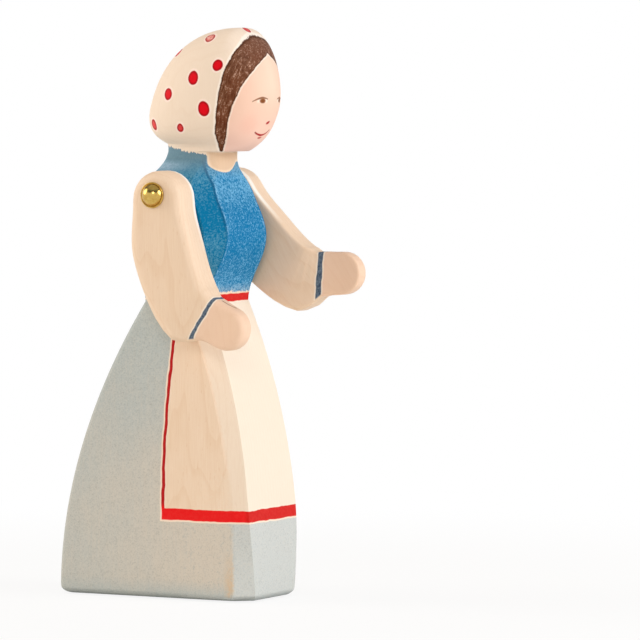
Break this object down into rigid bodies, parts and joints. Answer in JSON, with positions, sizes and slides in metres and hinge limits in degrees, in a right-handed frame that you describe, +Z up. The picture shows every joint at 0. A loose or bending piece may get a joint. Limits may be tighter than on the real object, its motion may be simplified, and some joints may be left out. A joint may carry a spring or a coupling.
{
  "type": "jointed wooden doll",
  "caption": "Carved maple peasant-woman doll in headscarf, apron and full skirt, standing on its flat foot; flat arms swing on domed brass shoulder nails.",
  "frame": {"origin": "middle of the foot of the skirt, on the table: middle of the board's thickness, and the middle between the front and the back of the hem to 0.1 mm", "axes": "+Z is up, the doll faces -Y, and its right hand is on -X"},
  "size_m": [0.0506, 0.0718, 0.145],
  "materials": {
    "painted_maple": "maple under thin water stain and paint, oiled, satin",
    "maple": "sanded and oiled maple, satin",
    "brass": "polished"
  },
  "bodies": {
    "body": {"body": "painted_maple", "right_shoulder_nail": "brass", "left_shoulder_nail": "brass"},
    "right_arm": {"right_arm": "maple"},
    "left_arm": {"left_arm": "maple"}
  },
  "joints": [
    {"name": "right_shoulder", "type": "hinge", "parent": "body", "child": "right_arm", "pos_m": [-0.01845, -0.0056, 0.1028], "axis": [-1, 0, 0], "continuous": true},
    {"name": "left_shoulder", "type": "hinge", "parent": "body", "child": "left_arm", "pos_m": [0.01845, -0.0056, 0.1028], "axis": [-1, 0, 0], "continuous": true}
  ]
}
